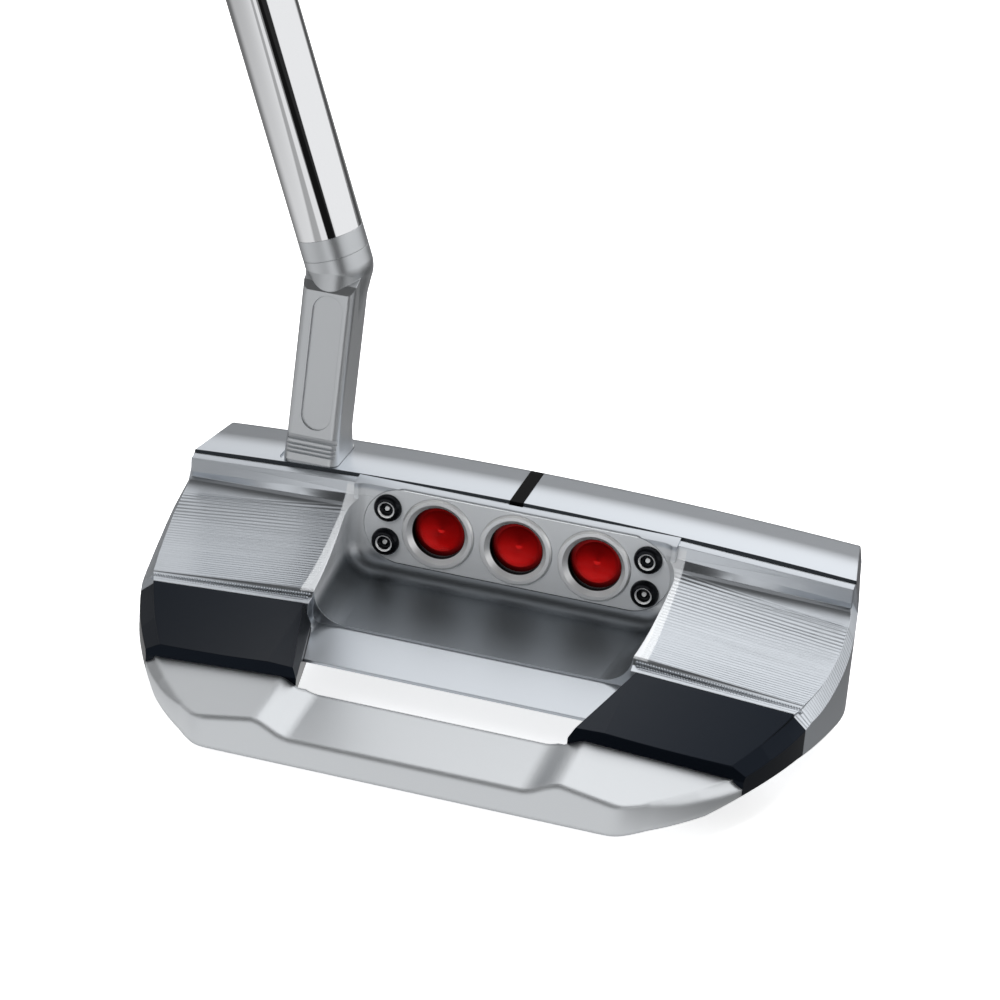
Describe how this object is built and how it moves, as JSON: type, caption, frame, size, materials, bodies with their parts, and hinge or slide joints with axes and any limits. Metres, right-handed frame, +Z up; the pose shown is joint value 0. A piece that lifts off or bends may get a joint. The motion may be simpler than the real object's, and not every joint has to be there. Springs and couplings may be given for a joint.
{
  "type": "mallet putter",
  "caption": "Right-handed mid-mallet golf putter: milled head with dark wing blocks, rear bridge and round red cups, offset neck, chrome shaft and rubber grip.",
  "frame": {"origin": "on the ground plane, on the flat of the sole, under the rear wall of the face bar, halfway between heel and toe", "axes": "+X toward the toe, +Y toward the target through the striking face, +Z up; the shaft leans toward -X at the 70 degree lie"},
  "size_m": [0.368, 0.0722, 0.8183],
  "materials": {
    "milled_steel": "satin, with fine milling lines across the wings",
    "black_anodised": "black anodised, satin",
    "blasted_steel": "bead blasted satin",
    "insert_steel": "milled face",
    "membrane_rubber": "matt",
    "plate_steel": "satin",
    "turned_steel": "turned satin",
    "red_enamel": "glossy translucent red over a spun dish",
    "black_screw": "glossy black oxide",
    "black_paint": "matt paint fill",
    "fixing_steel": "plain",
    "weight_steel": "turned satin",
    "neck_steel": "satin",
    "shaft_chrome": "polished chrome plate",
    "cured_epoxy": "cured adhesive",
    "tape_paper": "two-sided tape",
    "grip_rubber": "moulded matt",
    "cap_rubber": "moulded matt"
  },
  "bodies": {
    "root": {"head_body": "milled_steel", "heel_block": "black_anodised", "toe_block": "black_anodised", "rear_bridge": "blasted_steel", "face_insert": "insert_steel", "damping_membrane": "membrane_rubber", "back_plate": "plate_steel", "cup_rings": "turned_steel", "cup_fills": "red_enamel", "back_screws": "black_screw", "sight_line": "black_paint", "dowel_pins": "fixing_steel", "lap_screws": "fixing_steel", "heel_weight": "weight_steel", "toe_weight": "weight_steel", "neck": "neck_steel", "shaft_collar": "neck_steel", "shaft": "shaft_chrome", "bond_sleeve": "cured_epoxy", "grip_tape": "tape_paper", "grip": "grip_rubber", "grip_cap": "cap_rubber"}
  },
  "joints": []
}
